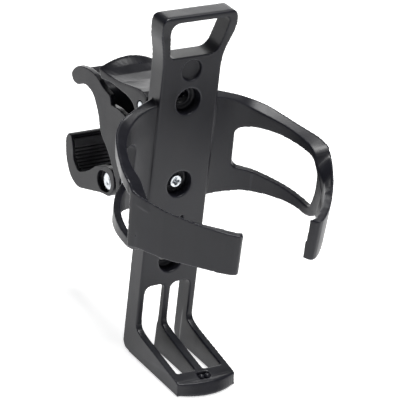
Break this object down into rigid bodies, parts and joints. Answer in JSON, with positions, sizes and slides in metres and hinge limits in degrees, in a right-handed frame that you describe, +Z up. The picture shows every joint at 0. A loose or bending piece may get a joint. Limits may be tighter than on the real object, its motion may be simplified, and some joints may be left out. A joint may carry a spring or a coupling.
{
  "type": "water bottle cage",
  "caption": "Moulded bottle cage with sprung arms, foot shelf and handle loop, on a ratchet tube clamp with a release lever.",
  "frame": {"origin": "centre of the clamped tube, midway across the clamp", "axes": "+X along the clamped tube, +Y from the cage towards the clamp's mouth, +Z up along the spine; the bottle stands on the -Y side"},
  "size_m": [0.0838, 0.128, 0.1372],
  "materials": {
    "black_plastic": "satin moulded",
    "clamp_plastic": "satin moulded",
    "black_rubber": "matte ribbed",
    "zinc_steel": "bright zinc plated",
    "spring_steel": "drawn wire"
  },
  "bodies": {
    "clamp_base": {"clamp_body": "clamp_plastic", "jaw_pin": "zinc_steel", "stop_pin": "zinc_steel", "lever_pin": "zinc_steel", "lever_spring": "spring_steel", "jaw_spring": "spring_steel", "cage_screw": "zinc_steel", "screw_nut": "zinc_steel"},
    "cage_frame": {"cage": "black_plastic"},
    "lower_jaw": {"jaw": "clamp_plastic", "jaw_pad": "black_rubber"},
    "lever": {"release_lever": "clamp_plastic"}
  },
  "joints": [
    {"name": "cage_swivel", "type": "hinge", "parent": "clamp_base", "child": "cage_frame", "pos_m": [0, -0.051, -0.001], "axis": [0, 1, 0], "range_deg": [-90, 90]},
    {"name": "jaw_hinge", "type": "hinge", "parent": "clamp_base", "child": "lower_jaw", "pos_m": [0, -0.0195, -0.013], "axis": [1, 0, 0], "range_deg": [-30, 6], "stiffness_Nm_per_rad": 0.02, "deforming": ["jaw_spring"]},
    {"name": "lever_hinge", "type": "hinge", "parent": "clamp_base", "child": "lever", "pos_m": [0, -0.0381, 0.0263], "axis": [1, 0, 0], "range_deg": [-3, 0], "stiffness_Nm_per_rad": 0.3, "deforming": ["lever_spring"]}
  ]
}
